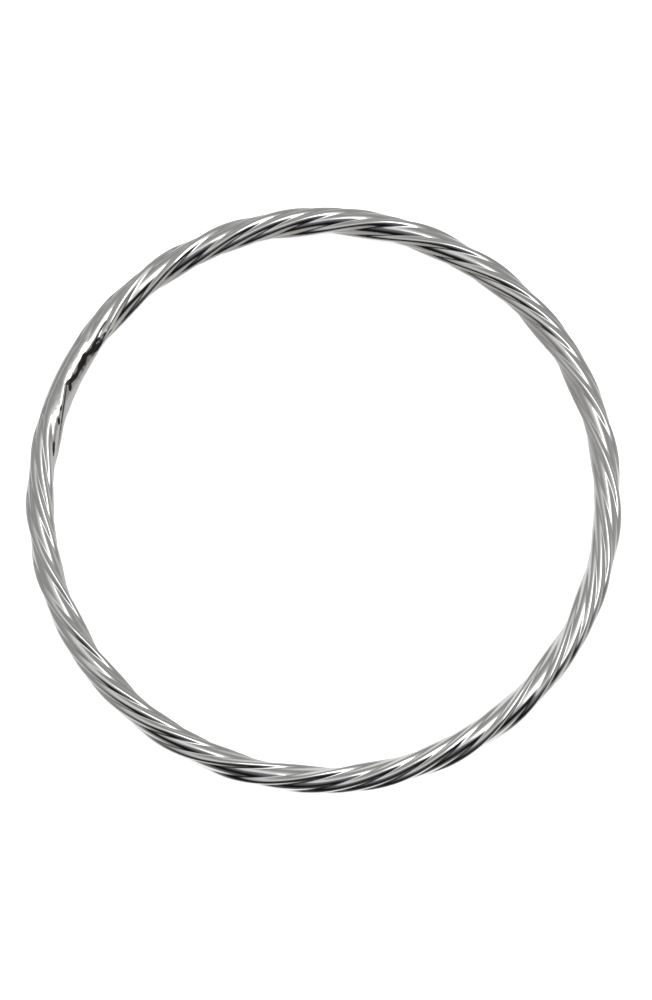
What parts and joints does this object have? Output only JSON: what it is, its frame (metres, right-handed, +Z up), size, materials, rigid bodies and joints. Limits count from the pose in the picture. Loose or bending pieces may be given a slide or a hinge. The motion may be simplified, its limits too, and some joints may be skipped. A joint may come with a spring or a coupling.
{
  "type": "twisted wire bangle",
  "caption": "Closed round bangle of one thick ribbed silver bar, twisted to the left and soldered shut, lying on its side.",
  "frame": {"origin": "middle of the ring on the surface that the bangle rests on", "axes": "+Z up, through the ring where the hand goes in; X and Y in the plane of the ring, with the solder joint 155 degrees round from +X"},
  "size_m": [0.0707, 0.0706, 0.0034],
  "materials": {
    "polished_silver": "solid silver, polished bright, with fine scratches and slight tarnish in the grooves"
  },
  "bodies": {
    "root": {"twisted_bar": "polished_silver"}
  },
  "joints": []
}
